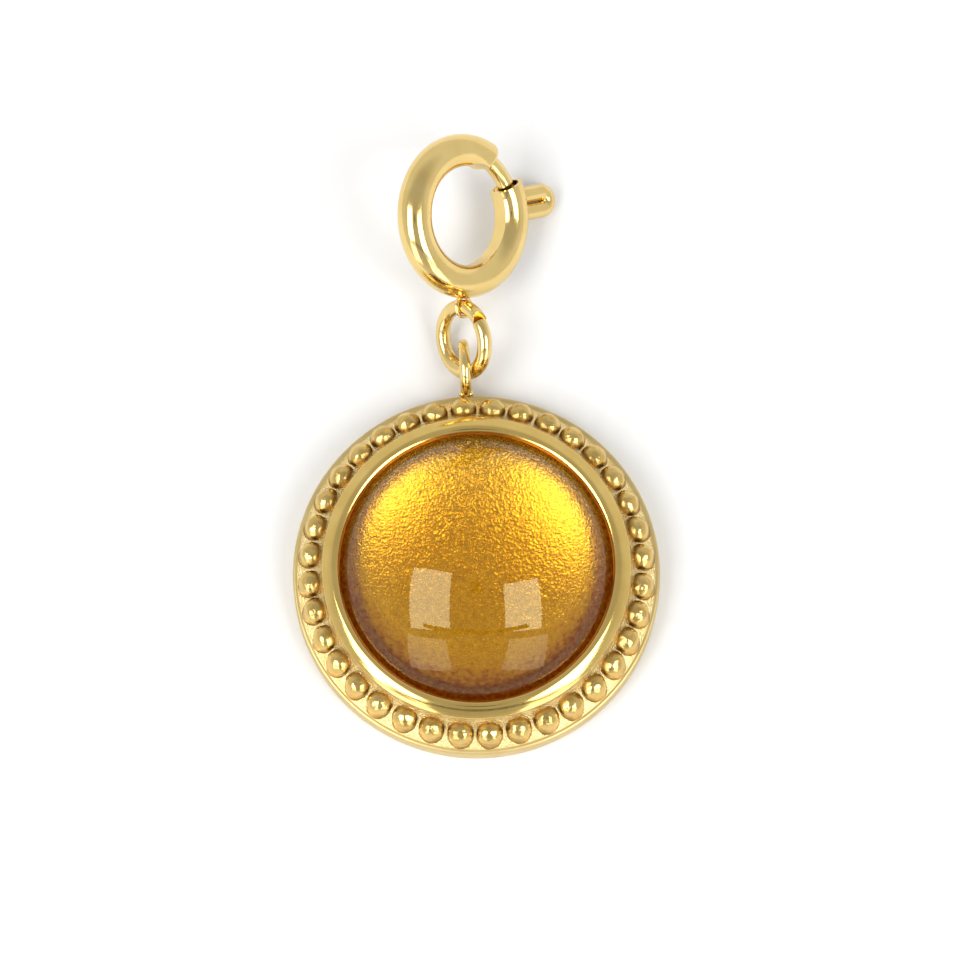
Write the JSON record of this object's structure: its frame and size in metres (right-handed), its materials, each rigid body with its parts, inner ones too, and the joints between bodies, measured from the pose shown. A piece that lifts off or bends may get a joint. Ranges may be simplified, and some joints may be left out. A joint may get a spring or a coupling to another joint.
{
  "type": "charm pendant",
  "caption": "Round gold-tone charm with a beaded border, a domed citrine-coloured stone, a soldered loop, a jump ring and a spring ring clasp whose tongue slides open.",
  "frame": {"origin": "centre of the pendant's flat back, on the surface it lies on", "axes": "+Z out of the stone's dome, +Y from the pendant towards the clasp, +X to the right seen from the front"},
  "size_m": [0.02, 0.0339, 0.0077],
  "materials": {
    "gold_tone_metal": "polished",
    "citrine_glass": "polished",
    "foil": "crinkled and bright"
  },
  "bodies": {
    "charm": {"pendant_frame": "gold_tone_metal", "foil_backing": "foil", "cabochon": "citrine_glass", "jump_ring": "gold_tone_metal", "clasp_ring": "gold_tone_metal"},
    "tongue": {"clasp_tongue": "gold_tone_metal"}
  },
  "joints": [
    {"name": "tongue_slide", "type": "hinge", "parent": "charm", "child": "tongue", "pos_m": [0.00037, 0.01945, 0.00432], "axis": [0.6581, -0.2169, 0.7211], "range_deg": [-39.5, 0], "stiffness_Nm_per_rad": 0.004, "springref_deg": 20.05}
  ]
}
